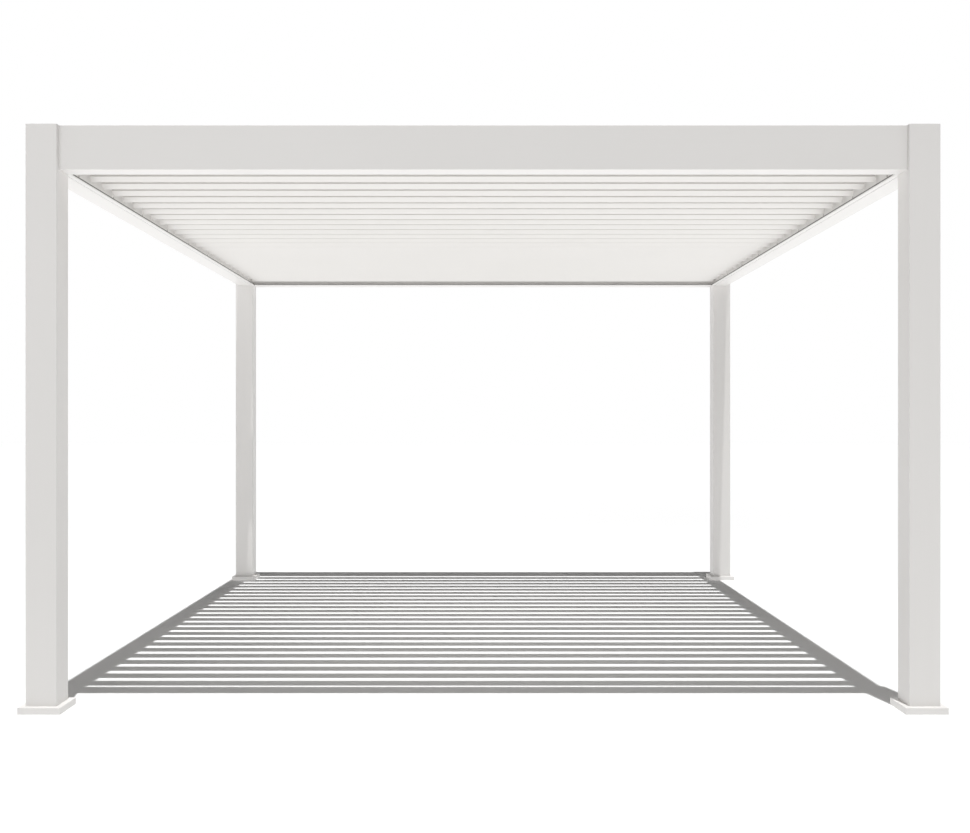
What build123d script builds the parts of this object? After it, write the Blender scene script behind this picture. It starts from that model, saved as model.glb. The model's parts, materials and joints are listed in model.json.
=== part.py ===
from build123d import *
import os

# Louvred-roof pergola in powder-coated aluminium. Millimetres, +Z up.
# X runs across the front, +Y to the back, origin on the ground at the middle of the footprint.

# Overall sizes, over the faces of the posts
frame_width = 4000.0
frame_depth = 4280.0
frame_height = 2576.0

# Posts, caps and feet
post_side = 137.0
post_wall = 3.0
post_corner = 4.0
cap_plate = 3.0
cap_skirt = 18.0
cap_wall = 2.5
foot_side = 187.0
foot_height = 30.0
foot_edge = 1.5
spigot_height = 90.0
spigot_wall = 6.0
anchor_hole = 14.0
anchor_spacing = 82.0
seat_gap = 0.3

# Beams of the roof frame
beam_height = 195.0
beam_width = 100.0
beam_wall = 3.0
beam_recess = 24.0
beam_edge = 1.5

# Gutter rails on the inner faces of the side beams
rail_wall = 3.0
rail_height = 176.0
gutter_width = 28.0
gutter_lip = 5.0
seam_rebate = 4.0

# Louvres: a hollow blade with a cover lip at its front edge and a rain channel under its rear edge
louvre_count = 25
louvre_angle = 43.0
pivot_above_beam = 103.5
pivot_share = 0.51
blade_thickness = 16.0
blade_skin = 2.0
blade_crown = 3.0
web_spacing = 44.0
channel_width = 31.5
channel_drop = 16.0
lip_drop = 6.0
lip_cover = 4.0
blade_gap = 7.0
end_gap = 6.0
side_gap = 15.0
post_gap = 5.0
end_cap = 3.0
pin_diameter = 8.0
pin_clearance = 0.3
pin_end_gap = 0.7

# Sizes worked out from those above
half_width = frame_width / 2
half_depth = frame_depth / 2
beam_bottom = frame_height - beam_height
beam_inner = beam_recess + beam_width
post_inner_x = half_width - post_side
post_inner_y = half_depth - post_side
rail_outer_x = half_width - beam_inner
field_half = half_depth - beam_inner
louvre_pitch = (2 * (field_half - end_gap) - lip_cover) / louvre_count
front_reach = louvre_pitch * pivot_share
rear_reach = louvre_pitch - front_reach + lip_cover
first_pivot = -field_half + end_gap + front_reach
pivot_height = beam_bottom + pivot_above_beam
louvre_end_x = min(rail_outer_x - rail_wall - side_gap, post_inner_x - post_gap)
pin_length = rail_outer_x - pin_end_gap - louvre_end_x

corners = {
    "front_left": (-1, -1),
    "front_right": (1, -1),
    "rear_left": (-1, 1),
    "rear_right": (1, 1),
}


def make_post(sign_x, sign_y):
    # Square tube with eased corners, from the foot to the underside of its cap
    length = frame_height - cap_plate - foot_height
    outer = RectangleRounded(post_side, post_side, post_corner)
    inner = Rectangle(post_side - 2 * post_wall, post_side - 2 * post_wall)
    tube = extrude(outer - inner, length)
    return tube.moved(Location(post_centre(sign_x, sign_y, foot_height)))


def post_centre(sign_x, sign_y, z):
    return (
        sign_x * (half_width - post_side / 2),
        sign_y * (half_depth - post_side / 2),
        z,
    )


def make_cap(sign_x, sign_y):
    # Flat lid with a square skirt that plugs into the tube
    skirt_side = post_side - 2 * post_wall - 2 * seat_gap
    lid = extrude(RectangleRounded(post_side, post_side, post_corner), cap_plate)
    ring = Rectangle(skirt_side, skirt_side) - Rectangle(
        skirt_side - 2 * cap_wall, skirt_side - 2 * cap_wall
    )
    cap = lid + extrude(ring, -cap_skirt)
    return cap.moved(Location(post_centre(sign_x, sign_y, frame_height - cap_plate)))


def make_foot(sign_x, sign_y):
    # Ground plate with a spigot inside the post and four anchor holes inside the spigot
    plate = extrude(Rectangle(foot_side, foot_side), foot_height)
    plate = chamfer(plate.faces().sort_by(Axis.Z)[-1].edges(), foot_edge)
    spigot_side = post_side - 2 * post_wall - 2 * seat_gap
    ring = Rectangle(spigot_side, spigot_side) - Rectangle(
        spigot_side - 2 * spigot_wall, spigot_side - 2 * spigot_wall
    )
    spigot = extrude(ring, spigot_height).moved(Location((0, 0, foot_height)))
    holes = [
        Cylinder(anchor_hole / 2, 3 * foot_height).moved(place)
        for place in GridLocations(anchor_spacing, anchor_spacing, 2, 2)
    ]
    foot = plate + spigot - holes
    return foot.moved(Location(post_centre(sign_x, sign_y, 0)))


def beam_section():
    # Box section with one cross web, centred on its own middle
    outer = Rectangle(beam_width, beam_height)
    outer = chamfer(outer.vertices(), beam_edge)
    chamber_height = (beam_height - 3 * beam_wall) / 2
    chamber = Rectangle(beam_width - 2 * beam_wall, chamber_height)
    offset = (chamber_height + beam_wall) / 2
    return outer - [chamber.moved(Location((0, s * offset, 0))) for s in (-1, 1)]


def make_cross_beam(sign_y):
    # Front or rear beam, from post to post
    length = 2 * post_inner_x
    y = sign_y * (half_depth - beam_recess - beam_width / 2)
    z = beam_bottom + beam_height / 2
    plane = Plane(origin=(-length / 2, y, z), x_dir=(0, 1, 0), z_dir=(1, 0, 0))
    return extrude(plane * beam_section(), length)


def make_side_beam(sign_x):
    # Left or right beam, from post to post
    length = 2 * post_inner_y
    x = sign_x * (half_width - beam_recess - beam_width / 2)
    z = beam_bottom + beam_height / 2
    plane = Plane(origin=(x, -length / 2, z), x_dir=(-1, 0, 0), z_dir=(0, 1, 0))
    beam = extrude(plane * beam_section(), length)
    # Beams wider than the posts meet inside them, so the side beams are notched there
    cross_beams = [
        Box(2 * post_inner_x, beam_width, 3 * frame_height).moved(
            Location((0, sign_y * (field_half + beam_width / 2), 0))
        )
        for sign_y in (-1, 1)
    ]
    return beam - cross_beams


def louvre_pivots():
    return [first_pivot + i * louvre_pitch for i in range(louvre_count)]


def make_gutter_rail(sign_x):
    # Upright rail that carries the louvre pins, with the rain gutter along its foot
    section = Polyline(
        (0, seam_rebate),
        (seam_rebate, seam_rebate),
        (seam_rebate, 0),
        (gutter_width, 0),
        (gutter_width, gutter_lip),
        (gutter_width - rail_wall, gutter_lip),
        (gutter_width - rail_wall, rail_wall),
        (seam_rebate + rail_wall, rail_wall),
        (seam_rebate + rail_wall, seam_rebate + rail_wall),
        (rail_wall, seam_rebate + rail_wall),
        (rail_wall, rail_height),
        (0, rail_height),
        close=True,
    )
    plane = Plane(
        origin=(sign_x * rail_outer_x, -sign_x * field_half, beam_bottom),
        x_dir=(-sign_x, 0, 0),
        z_dir=(0, sign_x, 0),
    )
    rail = extrude(plane * make_face(section), 2 * field_half)
    bore = pin_diameter / 2 + pin_clearance
    holes = [
        Cylinder(bore, 4 * rail_wall, rotation=(0, 90, 0)).moved(
            Location((sign_x * rail_outer_x, y, pivot_height))
        )
        for y in louvre_pivots()
    ]
    notch_side = post_side + seat_gap
    notches = [
        Box(notch_side, notch_side, 3 * frame_height).moved(
            Location(
                (
                    sign_x * (half_width - notch_side / 2),
                    sign_y * (half_depth - notch_side / 2),
                    0,
                )
            )
        )
        for sign_y in (-1, 1)
    ]
    return rail - holes - notches


def blade_outline():
    # Closed position: front to the left, top face up, pivot at the origin, half way up the hollow part
    low = -blade_thickness / 2
    high = blade_thickness / 2
    box_front = -front_reach + lip_cover + blade_gap
    channel_front = rear_reach - channel_width
    box_rear = channel_front + blade_skin
    channel_low = low - channel_drop
    crown_middle = (box_front + box_rear) / 2
    lines = Polyline(
        (box_front, high),
        (-front_reach, high),
        (-front_reach, high - blade_skin),
        (box_front, high - blade_skin),
        (box_front, low),
        (channel_front, low),
        (channel_front, channel_low),
        (rear_reach, channel_low),
        (rear_reach, high - blade_skin - lip_drop),
        (rear_reach - blade_skin, high - blade_skin - lip_drop),
        (rear_reach - blade_skin, channel_low + blade_skin),
        (box_rear, channel_low + blade_skin),
        (box_rear, high),
    )
    crown = ThreePointArc(
        (box_rear, high), (crown_middle, high + blade_crown), (box_front, high)
    )
    return make_face(lines + crown)


def blade_chambers():
    # Three hollow chambers between the skins, parted by two upright webs
    height = blade_thickness - 2 * blade_skin
    left = -front_reach + lip_cover + blade_gap + blade_skin
    right = rear_reach - channel_width
    middle = (left + right) / 2
    half_web = blade_skin / 2
    spans = [
        (left, middle - web_spacing / 2 - half_web),
        (middle - web_spacing / 2 + half_web, middle + web_spacing / 2 - half_web),
        (middle + web_spacing / 2 + half_web, right),
    ]
    return [
        Rectangle(b - a, height).moved(Location(((a + b) / 2, 0, 0)))
        for a, b in spans
    ]


def make_louvre():
    # One blade, front edge raised by the rest angle, turned about its own pins on the X axis
    plane = Plane(origin=(-louvre_end_x, 0, 0), x_dir=(0, 1, 0), z_dir=(1, 0, 0))
    blade = extrude(plane * blade_outline(), 2 * louvre_end_x)
    inside = plane.offset(end_cap)
    length = 2 * (louvre_end_x - end_cap)
    chambers = [extrude(inside * chamber, length) for chamber in blade_chambers()]
    pins = [
        Cylinder(pin_diameter / 2, pin_length, rotation=(0, 90, 0)).moved(
            Location((sign * (louvre_end_x + pin_length / 2), 0, 0))
        )
        for sign in (-1, 1)
    ]
    louvre = blade - chambers + pins
    return louvre.rotate(Axis.X, -louvre_angle)


def make_parts():
    parts = {}
    for corner, signs in corners.items():
        parts["post_" + corner] = make_post(*signs)
        parts["post_cap_" + corner] = make_cap(*signs)
        parts["foot_plate_" + corner] = make_foot(*signs)
    parts["beam_front"] = make_cross_beam(-1)
    parts["beam_rear"] = make_cross_beam(1)
    parts["beam_left"] = make_side_beam(-1)
    parts["beam_right"] = make_side_beam(1)
    parts["gutter_rail_left"] = make_gutter_rail(-1)
    parts["gutter_rail_right"] = make_gutter_rail(1)
    louvre = make_louvre()
    for number, y in enumerate(louvre_pivots(), start=1):
        name = f"louvre_{number:02d}"
        parts[name] = louvre.moved(Location((0, y, pivot_height)))
    return parts


os.makedirs("parts", exist_ok=True)
for name, shape in make_parts().items():
    export_step(shape, f"parts/{name}.step")
print("louvre pitch", round(louvre_pitch, 3), "first pivot", round(first_pivot, 3))
print("pivot height", round(pivot_height, 3), "louvre end", round(louvre_end_x, 3))
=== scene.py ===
import json
import math

import bmesh
import bpy
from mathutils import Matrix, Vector


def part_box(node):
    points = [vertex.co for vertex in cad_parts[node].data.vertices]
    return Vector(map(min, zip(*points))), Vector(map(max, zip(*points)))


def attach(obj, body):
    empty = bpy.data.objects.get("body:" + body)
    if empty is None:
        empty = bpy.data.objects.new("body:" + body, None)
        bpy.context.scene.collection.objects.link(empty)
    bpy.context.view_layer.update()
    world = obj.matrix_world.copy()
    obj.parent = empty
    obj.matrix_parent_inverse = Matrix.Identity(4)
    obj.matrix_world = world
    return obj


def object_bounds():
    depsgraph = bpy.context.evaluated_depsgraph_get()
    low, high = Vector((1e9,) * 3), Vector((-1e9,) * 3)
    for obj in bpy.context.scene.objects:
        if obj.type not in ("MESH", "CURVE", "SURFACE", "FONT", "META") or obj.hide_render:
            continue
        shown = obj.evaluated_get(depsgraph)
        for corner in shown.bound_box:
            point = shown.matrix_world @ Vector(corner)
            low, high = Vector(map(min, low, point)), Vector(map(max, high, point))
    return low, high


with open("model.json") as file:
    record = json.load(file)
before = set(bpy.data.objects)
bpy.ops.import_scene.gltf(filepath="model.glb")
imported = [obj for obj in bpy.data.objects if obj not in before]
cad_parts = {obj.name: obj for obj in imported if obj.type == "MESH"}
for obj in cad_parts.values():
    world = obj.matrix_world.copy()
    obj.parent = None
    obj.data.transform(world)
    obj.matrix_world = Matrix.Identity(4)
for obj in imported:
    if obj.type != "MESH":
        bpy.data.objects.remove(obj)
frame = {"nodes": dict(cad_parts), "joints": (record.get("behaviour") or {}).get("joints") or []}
cadLow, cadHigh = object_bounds()
nodes = frame["nodes"]
scene = bpy.context.scene
print("frame loaded,", len(nodes), "CAD nodes")


# Camera: level, in front of the posts, shifted so that the horizon sits where the photograph has it

cameraSettings = {
    "place": Vector((0.0, -7.007, 1.2665)),  # eye height about half way up the posts
    "lens": 41.34,
    "sensor": 36.0,
    "shiftRight": 0.00206,
    "shiftUp": 0.0071,
    "farthest": 200.0,
}


def makeCamera(settings):
    lensData = bpy.data.cameras.new("viewCamera")
    lensData.lens = settings["lens"]
    lensData.sensor_width = settings["sensor"]
    lensData.shift_x = settings["shiftRight"]
    lensData.shift_y = settings["shiftUp"]
    lensData.clip_end = settings["farthest"]
    camera = bpy.data.objects.new("viewCamera", lensData)
    camera.location = settings["place"]
    camera.rotation_euler = (math.radians(90), 0, 0)  # level, facing the back
    scene.collection.objects.link(camera)
    scene.camera = camera


makeCamera(cameraSettings)
print("camera set")


# Node helpers: an input may be given a socket to link or a plain number or colour

white = (1.0, 1.0, 1.0, 1.0)


def feed(tree, value, socket):
    if isinstance(value, bpy.types.NodeSocket):
        tree.links.new(value, socket)
    else:
        socket.default_value = value


def addNode(tree, kind, inputs=None, **settings):
    node = tree.nodes.new(kind)
    for key, value in settings.items():
        setattr(node, key, value)
    for label, value in (inputs or {}).items():
        feed(tree, value, node.inputs[label])
    return node


def calculate(tree, operation, first, second, clamp=False):
    node = addNode(
        tree, "ShaderNodeMath", {0: first, 1: second}, operation=operation, use_clamp=clamp
    )
    return node.outputs[0]


def mixValues(tree, share, first, second):
    # a Mix node keeps its numbers in sockets 2 and 3
    node = addNode(tree, "ShaderNodeMix", {0: share, 2: first, 3: second}, data_type="FLOAT")
    return node.outputs[0]


def mixColours(tree, share, first, second):
    # and its colours in sockets 6 and 7, with 2 on the way out
    node = addNode(tree, "ShaderNodeMix", {0: share, 6: first, 7: second}, data_type="RGBA")
    return node.outputs[2]


def addNoise(tree, spot, perMetre, **shape):
    inputs = dict(shape, Vector=spot, Scale=perMetre)
    return addNode(tree, "ShaderNodeTexNoise", inputs).outputs["Fac"]


# Daylight: a high sun that draws the louvre stripes on the floor, a broad front light, an even sky

sunlight = {
    "travel": Vector((-0.026, 0.142, -1.0)),  # from above the front, a touch from the right
    "strength": 3.0,
    "spread": 0.55,  # degrees, soft enough to blur the stripe edges
}

frontGlow = {
    "travel": Vector((0.3, 1.0, -0.25)),
    "strength": 0.3,
    "spread": 22.0,
}

sky = {
    "colour": (1.0, 0.995, 0.985, 1.0),
    "strength": 0.11,
    "backdropStrength": 1.0,  # plain white where the camera or a reflection sees past the floor
}


def makeSun(name, settings):
    lamp = bpy.data.lights.new(name, "SUN")
    lamp.energy = settings["strength"]
    lamp.angle = math.radians(settings["spread"])
    sun = bpy.data.objects.new(name, lamp)
    sun.rotation_mode = "QUATERNION"
    sun.rotation_quaternion = settings["travel"].to_track_quat("-Z", "Y")
    scene.collection.objects.link(sun)


def makeSky(settings):
    world = bpy.data.worlds.new("sky")
    world.use_nodes = True
    scene.world = world
    tree = world.node_tree
    tree.nodes.clear()
    paths = addNode(tree, "ShaderNodeLightPath").outputs
    seen = calculate(tree, "ADD", paths["Is Camera Ray"], paths["Is Glossy Ray"])
    seen = calculate(tree, "ADD", seen, paths["Is Transmission Ray"], clamp=True)
    ambient = addNode(
        tree,
        "ShaderNodeBackground",
        {"Color": settings["colour"], "Strength": settings["strength"]},
    )
    backdrop = addNode(
        tree,
        "ShaderNodeBackground",
        {"Color": white, "Strength": settings["backdropStrength"]},
    )
    mixed = addNode(
        tree, "ShaderNodeMixShader", {0: seen, 1: ambient.outputs[0], 2: backdrop.outputs[0]}
    )
    addNode(tree, "ShaderNodeOutputWorld", {"Surface": mixed.outputs[0]})


makeSun("sun", sunlight)
makeSun("frontLight", frontGlow)
makeSky(sky)
scene.view_settings.view_transform = "Standard"
print("daylight set")


# Shader groups that the finishes share


def newGroup(name, inputs, outputs):
    # inputs hold (label, kind, value) and outputs (label, kind)
    group = bpy.data.node_groups.new(name, "ShaderNodeTree")
    for label, kind, value in inputs:
        socket = group.interface.new_socket(
            label, in_out="INPUT", socket_type="NodeSocket" + kind
        )
        if value is not None:
            socket.default_value = value
    for label, kind in outputs:
        group.interface.new_socket(label, in_out="OUTPUT", socket_type="NodeSocket" + kind)
    given = group.nodes.new("NodeGroupInput").outputs
    made = group.nodes.new("NodeGroupOutput").inputs
    return group, given, made


def makeStipple():
    # The fine bumps of a baked powder coat, over a slower orange peel
    group, given, made = newGroup(
        "powderStipple",
        [
            ("Vector", "Vector", None),
            ("Grains per metre", "Float", 650.0),
            ("Peel per metre", "Float", 120.0),
            ("Peel share", "Float", 0.35),
        ],
        [("Height", "Float"), ("Mask", "Float")],
    )
    spot = given["Vector"]
    grain = addNoise(group, spot, given["Grains per metre"], Detail=2.0, Roughness=0.6)
    peel = addNoise(group, spot, given["Peel per metre"], Detail=1.0)
    height = mixValues(group, given["Peel share"], grain, peel)
    feed(group, height, made["Height"])
    feed(group, grain, made["Mask"])
    return group


def makeDrawLines():
    # Faint lines that the extrusion die leaves along a profile
    group, given, made = newGroup(
        "drawLines",
        [
            ("Vector", "Vector", None),
            ("Squeeze", "Vector", (1.0, 1.0, 1.0)),
            ("Lines per metre", "Float", 90.0),
        ],
        [("Mask", "Float")],
    )
    squeezed = addNode(
        group,
        "ShaderNodeVectorMath",
        {0: given["Vector"], 1: given["Squeeze"]},
        operation="MULTIPLY",
    ).outputs[0]
    lines = addNoise(group, squeezed, given["Lines per metre"], Detail=3.0, Roughness=0.7)
    feed(group, lines, made["Mask"])
    return group


def makeToneDrift():
    # Slow change of tone over a coated face, with the die lines and grain worked into it
    group, given, made = newGroup(
        "toneDrift",
        [
            ("Vector", "Vector", None),
            ("Colour", "Color", (0.8, 0.8, 0.8, 1.0)),
            ("Deep colour", "Color", (0.7, 0.7, 0.7, 1.0)),
            ("Clouds per metre", "Float", 1.6),
            ("Cloud share", "Float", 0.5),
            ("Lines", "Float", 0.5),
            ("Line share", "Float", 0.2),
            ("Grain", "Float", 0.5),
            ("Grain share", "Float", 0.2),
        ],
        [("Colour", "Color"), ("Mask", "Float")],
    )
    clouds = addNoise(group, given["Vector"], given["Clouds per metre"], Detail=4.0)
    total = calculate(group, "MULTIPLY", clouds, given["Cloud share"])
    for effect, share in (("Lines", "Line share"), ("Grain", "Grain share")):
        part = calculate(group, "MULTIPLY", given[effect], given[share])
        total = calculate(group, "ADD", total, part, clamp=True)
    tone = mixColours(group, total, given["Colour"], given["Deep colour"])
    feed(group, tone, made["Colour"])
    feed(group, total, made["Mask"])
    return group


def makeSettledDust():
    # A thin film of dust on faces that look up, broken by rain
    group, given, made = newGroup(
        "settledDust",
        [
            ("Vector", "Vector", None),
            ("Colour", "Color", (0.8, 0.8, 0.8, 1.0)),
            ("Dust colour", "Color", (0.45, 0.42, 0.37, 1.0)),
            ("Amount", "Float", 0.1),
            ("Patches per metre", "Float", 9.0),
        ],
        [("Colour", "Color"), ("Mask", "Float")],
    )
    facing = addNode(group, "ShaderNodeNewGeometry").outputs["Normal"]
    upward = addNode(group, "ShaderNodeSeparateXYZ", {0: facing}).outputs["Z"]
    level = addNode(
        group,
        "ShaderNodeMapRange",
        {"Value": upward, "From Min": 0.55, "From Max": 1.0},  # steep faces hold none
    ).outputs[0]
    patches = addNoise(group, given["Vector"], given["Patches per metre"], Detail=5.0)
    patchy = calculate(group, "MULTIPLY", level, patches)
    film = calculate(group, "MULTIPLY", patchy, given["Amount"], clamp=True)
    tone = mixColours(group, film, given["Colour"], given["Dust colour"])
    feed(group, tone, made["Colour"])
    feed(group, film, made["Mask"])
    return group


stipple = makeStipple()
drawLines = makeDrawLines()
toneDrift = makeToneDrift()
settledDust = makeSettledDust()
print("shader groups made")


def placeGroup(tree, group, values):
    return addNode(tree, "ShaderNodeGroup", values, node_tree=group).outputs


def newMaterial(name):
    material = bpy.data.materials.new(name)
    material.use_nodes = True
    tree = material.node_tree
    shader = tree.nodes["Principled BSDF"].inputs
    spot = addNode(tree, "ShaderNodeTexCoord").outputs["Object"]
    return material, tree, shader, spot


def placeDrawLines(tree, spot, look):
    values = {"Vector": spot, "Squeeze": look["squeeze"], "Lines per metre": look["lines"]}
    return placeGroup(tree, drawLines, values)


def spreadRoughness(tree, look, mask):
    # Roughness that wanders either side of its middle value, by a mask of 0 to 1
    middle, spread = look["roughness"], look["roughnessSpread"]
    values = {"Value": mask, "To Min": middle - spread, "To Max": middle + spread}
    return addNode(tree, "ShaderNodeMapRange", values).outputs[0]


def makeCoating(name, look):
    # Powder-coated aluminium: tone, roughness and grain all vary a little over the face
    material, tree, shader, spot = newMaterial(name)
    grains = placeGroup(
        tree,
        stipple,
        {"Vector": spot, "Grains per metre": look["grains"], "Peel per metre": look["peel"]},
    )
    lines = placeDrawLines(tree, spot, look)
    tone = placeGroup(
        tree,
        toneDrift,
        {
            "Vector": spot,
            "Colour": look["colour"],
            "Deep colour": look["deepColour"],
            "Cloud share": look["cloudShare"],
            "Lines": lines["Mask"],
            "Line share": look["lineShare"],
            "Grain": grains["Mask"],
            "Grain share": look["grainShare"],
        },
    )
    dust = placeGroup(
        tree, settledDust, {"Vector": spot, "Colour": tone["Colour"], "Amount": look["dust"]}
    )
    rough = spreadRoughness(tree, look, tone["Mask"])
    dusty = calculate(tree, "ADD", rough, dust["Mask"], clamp=True)
    bump = addNode(
        tree,
        "ShaderNodeBump",
        {
            "Strength": look["bump"],
            "Distance": look["grainHeight"],
            "Height": grains["Height"],
        },
    )
    feed(tree, dust["Colour"], shader["Base Color"])
    feed(tree, dusty, shader["Roughness"])
    feed(tree, bump.outputs["Normal"], shader["Normal"])
    shader["IOR"].default_value = look["ior"]
    shader["Coat Weight"].default_value = look["coat"]
    shader["Coat Roughness"].default_value = look["coatRoughness"]
    return material


# One coating for the whole frame: the others differ in the way that their profile runs, in how they
# catch dust and, on the louvres, in a paler tone

drawnOut = 0.03  # stretches the die lines along a profile

frameLook = {
    "colour": (0.795, 0.78, 0.764, 1.0),
    "deepColour": (0.755, 0.74, 0.722, 1.0),
    "cloudShare": 0.5,
    "lineShare": 0.25,
    "grainShare": 0.25,
    "grains": 650.0,
    "peel": 120.0,
    "squeeze": (drawnOut, 1.0, 1.0),
    "lines": 90.0,
    "roughness": 0.55,
    "roughnessSpread": 0.05,
    "bump": 0.3,
    "grainHeight": 0.0004,
    "dust": 0.12,
    "ior": 1.5,
    "coat": 0.35,
    "coatRoughness": 0.3,
}
sideLook = dict(frameLook, squeeze=(1.0, drawnOut, 1.0))
postLook = dict(frameLook, squeeze=(1.0, 1.0, drawnOut))
footLook = dict(frameLook, squeeze=(1.0, 1.0, 1.0), lines=30.0, dust=0.05)
gutterLook = dict(sideLook, dust=0.3)
louvreLook = dict(
    frameLook,
    colour=(0.835, 0.82, 0.8, 1.0),
    deepColour=(0.8, 0.785, 0.762, 1.0),
    lines=140.0,
    dust=0.15,
)


def coatNodes():
    # Each finish by the start of its nodes' names; the first that fits is taken
    finishes = {
        "post_cap_": makeCoating("capCoating", footLook),
        "post_": makeCoating("postCoating", postLook),
        "foot_plate_": makeCoating("footCoating", footLook),
        "beam_front": makeCoating("crossBeamCoating", frameLook),
        "beam_left": makeCoating("sideBeamCoating", sideLook),
        "gutter_rail_": makeCoating("gutterCoating", gutterLook),
        "louvre_": makeCoating("louvreCoating", louvreLook),
    }
    finishes["beam_rear"] = finishes["beam_front"]
    finishes["beam_right"] = finishes["beam_left"]
    for name, node in nodes.items():
        start = next(key for key in finishes if name.startswith(key))
        node.data.materials.clear()
        node.data.materials.append(finishes[start])


coatNodes()
print("coatings on all CAD nodes")


# Finishes of the small fittings: steel, nylon, and a dark rubber whose colour is painted shade

steelLook = {
    "colour": (0.62, 0.61, 0.59, 1.0),
    "deepColour": (0.5, 0.49, 0.47, 1.0),
    "squeeze": (1.0, 1.0, 1.0),
    "lines": 900.0,
    "lineShare": 0.5,
    "clouds": 60.0,
    "roughness": 0.34,
    "roughnessSpread": 0.08,
    "metallic": 1.0,
}
nylonLook = dict(
    steelLook,
    colour=(0.72, 0.71, 0.69, 1.0),
    deepColour=(0.64, 0.63, 0.6, 1.0),
    roughness=0.5,
    metallic=0.0,
)
# Dark rubber for the strips on the lips and in the seams: a real seal material, but its dark colour
# is painted shade
shadeSealLook = dict(
    nylonLook,
    colour=(0.16, 0.16, 0.155, 1.0),
    deepColour=(0.12, 0.12, 0.115, 1.0),
    lines=300.0,
    roughness=0.7,
)


def makeFittingFinish(name, look):
    # A small part in one material, a little uneven in tone and polish
    material, tree, shader, spot = newMaterial(name)
    lines = placeDrawLines(tree, spot, look)
    tone = placeGroup(
        tree,
        toneDrift,
        {
            "Vector": spot,
            "Colour": look["colour"],
            "Deep colour": look["deepColour"],
            "Clouds per metre": look["clouds"],
            "Lines": lines["Mask"],
            "Line share": look["lineShare"],
        },
    )
    feed(tree, tone["Colour"], shader["Base Color"])
    feed(tree, spreadRoughness(tree, look, lines["Mask"]), shader["Roughness"])
    shader["Metallic"].default_value = look["metallic"]
    return material


# Turned fittings, true to scale: pin bushings, pin sleeves and screws

sharpAngle = 35.0  # degrees; a fold sharper than this keeps its edge
railWall = 0.003  # of the gutter rails, whose inner faces carry bushings and screws

bushing = {
    "bore": 0.0043,
    "flange": 0.0095,
    "thickness": 0.0021,
    "edge": 0.0006,
    "segments": 28,
}

sleeve = {
    "pinLength": 0.0173,  # from the louvre's end to the tip of its pin
    "inner": 0.00402,
    "outer": 0.0065,
    "length": 0.0105,
    "edge": 0.0007,
    "segments": 24,
}

louvreScrew = {
    "head": 0.0046,
    "height": 0.0024,
    "socket": 0.0015,
    "depth": 0.0014,
    "places": (-0.05, 0.036),  # along the blade from its pin, front edge first
    "restTurn": 43.0,  # degrees that the front edge stands up at rest
    "segments": 24,
}

railScrew = {
    "head": 0.0062,
    "height": 0.0034,
    "socket": 0.0021,
    "depth": 0.002,
    "everyLouvres": 3,
    "heights": (0.03, 0.158),  # above the underside of the rail
    "segments": 24,
}

# The crown of a screw head, as shares of its height and radius, from the top down to the seat
headCrown = ((1.0, 0.58), (0.93, 0.76), (0.72, 0.92), (0.4, 1.0), (0.0, 1.0))


def screwProfile(look):
    # From the floor of the socket, over the crown of the head and down to its seat
    height, socket = look["height"], look["socket"]
    crown = [(height * up, look["head"] * out) for up, out in headCrown]
    return [(height - look["depth"], socket), (height, socket)] + crown


def ringProfile(inner, outer, length, edge):
    return [
        (0.0, inner),
        (0.0, outer),
        (length - edge, outer),
        (length, outer - edge),
        (length, inner + edge),
        (length - edge, inner),
    ]


def turnAlongX(mesh, profile, centre, side, look):
    # Turns pairs of (distance out from centre, radius) about the X axis; side is -1 or 1
    segments, socket = look["segments"], look.get("socket")
    sixth = math.pi / 3
    rings = []
    for index in range(segments):
        turn = 2 * math.pi * index / segments
        ring = []
        for out, radius in profile:
            if socket and radius == socket:  # the driver socket is a hexagon
                radius = socket / math.cos((turn % sixth) - sixth / 2)
            place = Vector((side * out, radius * math.cos(turn), radius * math.sin(turn)))
            ring.append(mesh.verts.new(centre + place))
        rings.append(ring)
    for index in range(segments):
        here, after = rings[index], rings[(index + 1) % segments]
        for low in range(len(profile)):
            high = (low + 1) % len(profile)
            if socket and high == 0:
                continue
            mesh.faces.new((here[low], here[high], after[high], after[low]))
    if socket:  # a screw is closed by the floor of its socket and by its seat
        mesh.faces.new([ring[0] for ring in rings])
        mesh.faces.new([ring[-1] for ring in rings])


def finishPiece(name, mesh, material, body):
    bmesh.ops.recalc_face_normals(mesh, faces=mesh.faces[:])
    data = bpy.data.meshes.new(name)
    mesh.to_mesh(data)
    mesh.free()
    data.materials.append(material)
    piece = bpy.data.objects.new(name, data)
    scene.collection.objects.link(piece)
    data.shade_smooth()
    data.set_sharp_from_angle(angle=math.radians(sharpAngle))
    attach(piece, body)


def pivotOf(joint):
    return Vector(joint["pos_m"])


def eachRail():
    # Side, short name and the corners of the box of either gutter rail
    for side, name in ((-1, "left"), (1, "right")):
        low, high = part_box("gutter_rail_" + name)
        yield side, name, low, high


def innerFace(side, low, high):
    return (high.x if side > 0 else low.x) - side * railWall


def makeBushings(material):
    # One flanged nylon bush for each pin, on the inner face of either rail
    profile = ringProfile(
        bushing["bore"], bushing["flange"], bushing["thickness"], bushing["edge"]
    )
    for side, name, low, high in eachRail():
        mesh = bmesh.new()
        for joint in frame["joints"]:
            centre = pivotOf(joint)
            centre.x = innerFace(side, low, high)
            turnAlongX(mesh, profile, centre, -side, bushing)
        finishPiece("pinBushings_" + name, mesh, material, "frame")


def makeRailScrews(material):
    # Pairs of screws, one above the other, half way between two pins
    profile = screwProfile(railScrew)
    pivots = [pivotOf(joint).y for joint in frame["joints"]]
    for side, name, low, high in eachRail():
        mesh = bmesh.new()
        for index in range(0, len(pivots) - 1, railScrew["everyLouvres"]):
            between = (pivots[index] + pivots[index + 1]) / 2
            for height in railScrew["heights"]:
                centre = Vector((innerFace(side, low, high), between, low.z + height))
                turnAlongX(mesh, profile, centre, -side, railScrew)
        finishPiece("railScrews_" + name, mesh, material, "frame")


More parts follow.
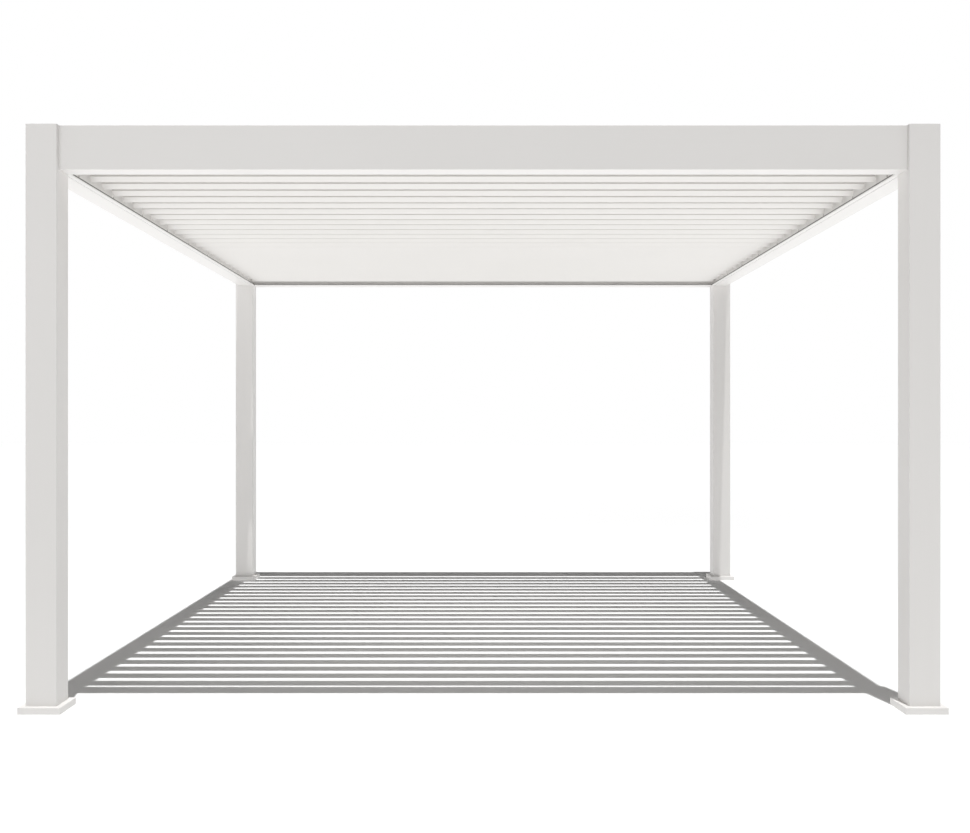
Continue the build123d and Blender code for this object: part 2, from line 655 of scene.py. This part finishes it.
def makeLouvreFittings(nylon, steel):
    # A spacer sleeve on each pin and the two screws that hold each end plate
    ring = ringProfile(sleeve["inner"], sleeve["outer"], sleeve["length"], sleeve["edge"])
    head = screwProfile(louvreScrew)
    tilt = math.radians(louvreScrew["restTurn"])
    along = Vector((0, math.cos(tilt), -math.sin(tilt)))
    for joint in frame["joints"]:
        body = joint["child"]
        low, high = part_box(body)
        sleeves = bmesh.new()
        screws = bmesh.new()
        for side in (-1, 1):
            tip = high.x if side > 0 else low.x
            centre = pivotOf(joint)
            centre.x = tip - side * sleeve["pinLength"]
            turnAlongX(sleeves, ring, centre, side, sleeve)
            for reach in louvreScrew["places"]:
                turnAlongX(screws, head, centre + along * reach, side, louvreScrew)
        finishPiece("pinSleeves_" + body, sleeves, nylon, body)
        finishPiece("endScrews_" + body, screws, steel, body)


# Strips that run the length of a beam: closing lip, drip strip, and dark rubber strips whose colour
# is painted shade

closingStrip = {
    "height": 0.119,  # of its underside above the underside of the beam
    "reach": 0.038,
    "upstand": 0.03,
    "thickness": 0.002,
    "bend": 0.0035,  # inner radius at the fold
    "bendSteps": 5,
    "endGap": 0.004,
}

dripStrip = {
    "reach": 0.028,  # as wide as the strips along the side beams
    "plate": 0.003,
    "lip": 0.005,
    "wall": 0.003,
    "rebate": 0.004,
    "endGap": 0.004,
}

# Dark rubber strips along the lips and in the seams: rubber seals whose dark colour is painted
# shade
shadeSeals = {
    "sideHeight": 0.006,  # dark rubber on the lip, painted shade: the thin dark line where shade falls beside the strip
    "rearHeight": 0.0034,
    "edgeWidth": 0.0022,
    "edgeRound": 0.001,
    "seamDepth": 0.0022,  # the dark bead in the seam beside the beam, painted shade in the seam
    "endGap": 0.006,
}


def sweepStrip(name, outline, along, reach, material):
    # outline holds pairs of (across, up); the strip runs as far either way on the axis along
    mesh = bmesh.new()
    ends = []
    for end in (-reach, reach):
        ring = []
        for across, up in outline:
            place = (end, across, up) if along == "x" else (across, end, up)
            ring.append(mesh.verts.new(place))
        ends.append(ring)
    count = len(outline)
    for index in range(count):
        after = (index + 1) % count
        mesh.faces.new((ends[0][index], ends[0][after], ends[1][after], ends[1][index]))
    for ring in ends:
        mesh.faces.new(ring)
    finishPiece(name, mesh, material, "frame")


def arcPoints(centre, radius, first, last, steps):
    # Points round an arc, angles in degrees
    points = []
    for step in range(steps + 1):
        turn = math.radians(first + (last - first) * step / steps)
        points.append((centre[0] + radius * math.cos(turn), centre[1] + radius * math.sin(turn)))
    return points


def makeClosingStrip(material, reach):
    # The fixed lip on the rear beam that covers the channel of the last louvre
    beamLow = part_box("beam_rear")[0]
    wall, inner, steps = (closingStrip[key] for key in ("thickness", "bend", "bendSteps"))
    outer = inner + wall
    face, base = beamLow.y, beamLow.z + closingStrip["height"]
    front = face - closingStrip["reach"]
    top = base + outer + closingStrip["upstand"]
    fold = (face - outer, base + outer)
    outline = [(front, base)]
    outline += arcPoints(fold, outer, -90, 0, steps)
    outline += [(face, top), (face - wall, top)]
    outline += arcPoints(fold, inner, 0, -90, steps)
    outline.append((front, base + wall))
    sweepStrip("rearClosingStrip", outline, "x", reach, material)


def makeDripStrip(material, reach):
    # Along the foot of the rear beam's inner face, like the strips at the sides
    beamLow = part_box("beam_rear")[0]
    wall, rebate = dripStrip["wall"], dripStrip["rebate"]
    face, base = beamLow.y, beamLow.z
    front = face - dripStrip["reach"]
    seam = face - rebate
    step = base + rebate
    floorTop = base + dripStrip["plate"]
    lipTop = base + dripStrip["lip"]
    outline = [
        (front, base),
        (seam, base),
        (seam, step),
        (face, step),
        (face, step + dripStrip["plate"]),
        (seam - wall, step + dripStrip["plate"]),
        (seam - wall, floorTop),
        (front + wall, floorTop),
        (front + wall, lipTop),
        (front, lipTop),
    ]
    sweepStrip("rearDripStrip", outline, "x", reach, material)


def edgeShadeSeal(edge, inward, base, height):
    # Rounded dark rubber section that stands on a lip, painted shade along it; inward is the way to
    # the beam
    width, soft = shadeSeals["edgeWidth"], shadeSeals["edgeRound"]
    return [
        (edge, base),
        (edge + inward * width, base),
        (edge + inward * width, base + height - soft),
        (edge + inward * (width - soft), base + height),
        (edge + inward * soft, base + height),
        (edge, base + height - soft),
    ]


def seamShadeSeal(beamFace, outward, base):
    # Dark bead that fills the top of the seam between a beam and its strip, painted shade in the
    # seam
    width, top = dripStrip["rebate"], base + dripStrip["rebate"]
    low = top - shadeSeals["seamDepth"]
    return [
        (beamFace, top),
        (beamFace, low),
        (beamFace + outward * width / 2, low + shadeSeals["edgeRound"] / 2),
        (beamFace + outward * width, low),
        (beamFace + outward * width, top),
    ]


def makeShadeSeals(material, rearReach):
    # Lays the dark strips of painted shade on the side lips and seams and on the rear lip and seam
    lip = dripStrip["lip"]
    for side, name, low, high in eachRail():
        sideReach = high.y - shadeSeals["endGap"]
        inner, outer = (low.x, high.x) if side > 0 else (high.x, low.x)
        edge = edgeShadeSeal(inner, side, low.z + lip, shadeSeals["sideHeight"])
        seam = seamShadeSeal(outer, -side, low.z)
        sweepStrip("edgeShadeSeal_" + name, edge, "y", sideReach, material)
        sweepStrip("seamShadeSeal_" + name, seam, "y", sideReach, material)
    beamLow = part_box("beam_rear")[0]
    front = beamLow.y - dripStrip["reach"]
    edge = edgeShadeSeal(front, 1, beamLow.z + lip, shadeSeals["rearHeight"])
    seam = seamShadeSeal(beamLow.y, -1, beamLow.z)
    sweepStrip("edgeShadeSeal_rear", edge, "x", rearReach, material)
    sweepStrip("seamShadeSeal_rear", seam, "x", rearReach, material)


steel = makeFittingFinish("screwSteel", steelLook)
nylon = makeFittingFinish("bushNylon", nylonLook)
# the dark rubber finish is painted shade on the strips that carry it
shadeSealRubber = makeFittingFinish("paintedShadeRubber", shadeSealLook)
makeBushings(nylon)
makeRailScrews(steel)
makeLouvreFittings(nylon, steel)
print("bushings, sleeves and screws in place")

# Each rear strip runs as far as this either side of the middle
railLow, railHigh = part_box("gutter_rail_left")
closingReach = -railLow.x - railWall - closingStrip["endGap"]  # up to the rails' walls
dripReach = -railHigh.x - dripStrip["endGap"]  # up to the rails' lips
makeClosingStrip(nodes["beam_rear"].data.materials[0], closingReach)
makeDripStrip(nodes["gutter_rail_left"].data.materials[0], dripReach)
# the dark strips are painted shade along the lips and seams
makeShadeSeals(shadeSealRubber, dripReach)
print("strips and seals in place")


# Floor: plain and pale, it carries the shadow and returns light to the object

floorSettings = {
    "halfSize": 60.0,
    "drop": 0.0005,  # below the feet
    "colour": (0.935, 0.935, 0.935, 1.0),  # as the camera sees it
    "returned": (0.5, 0.5, 0.5, 1.0),  # as light on its way to the object and reflections see it
    "bounce": 0.64,  # the even light that it adds to that, unseen by the camera
}


def makeFloor(settings):
    material, tree, shader = newMaterial("paleFloor")[:3]
    seen = addNode(tree, "ShaderNodeLightPath").outputs["Is Camera Ray"]
    shade = mixColours(tree, seen, settings["returned"], settings["colour"])
    unseen = addNode(
        tree,
        "ShaderNodeMapRange",
        {"Value": seen, "To Min": settings["bounce"], "To Max": 0.0},
    ).outputs[0]
    feed(tree, shade, shader["Base Color"])
    feed(tree, unseen, shader["Emission Strength"])
    shader["Roughness"].default_value = 1.0
    shader["Specular IOR Level"].default_value = 0.0
    shader["Emission Color"].default_value = white
    material.cycles.emission_sampling = "NONE"
    reach = settings["halfSize"]
    mesh = bpy.data.meshes.new("floor")
    corners = [(-reach, -reach, 0), (reach, -reach, 0), (reach, reach, 0), (-reach, reach, 0)]
    mesh.from_pydata(corners, [], [(0, 1, 2, 3)])
    mesh.materials.append(material)
    floor = bpy.data.objects.new("floor", mesh)
    floor.location.z = cadLow.z - settings["drop"]
    scene.collection.objects.link(floor)


makeFloor(floorSettings)
print("floor laid")
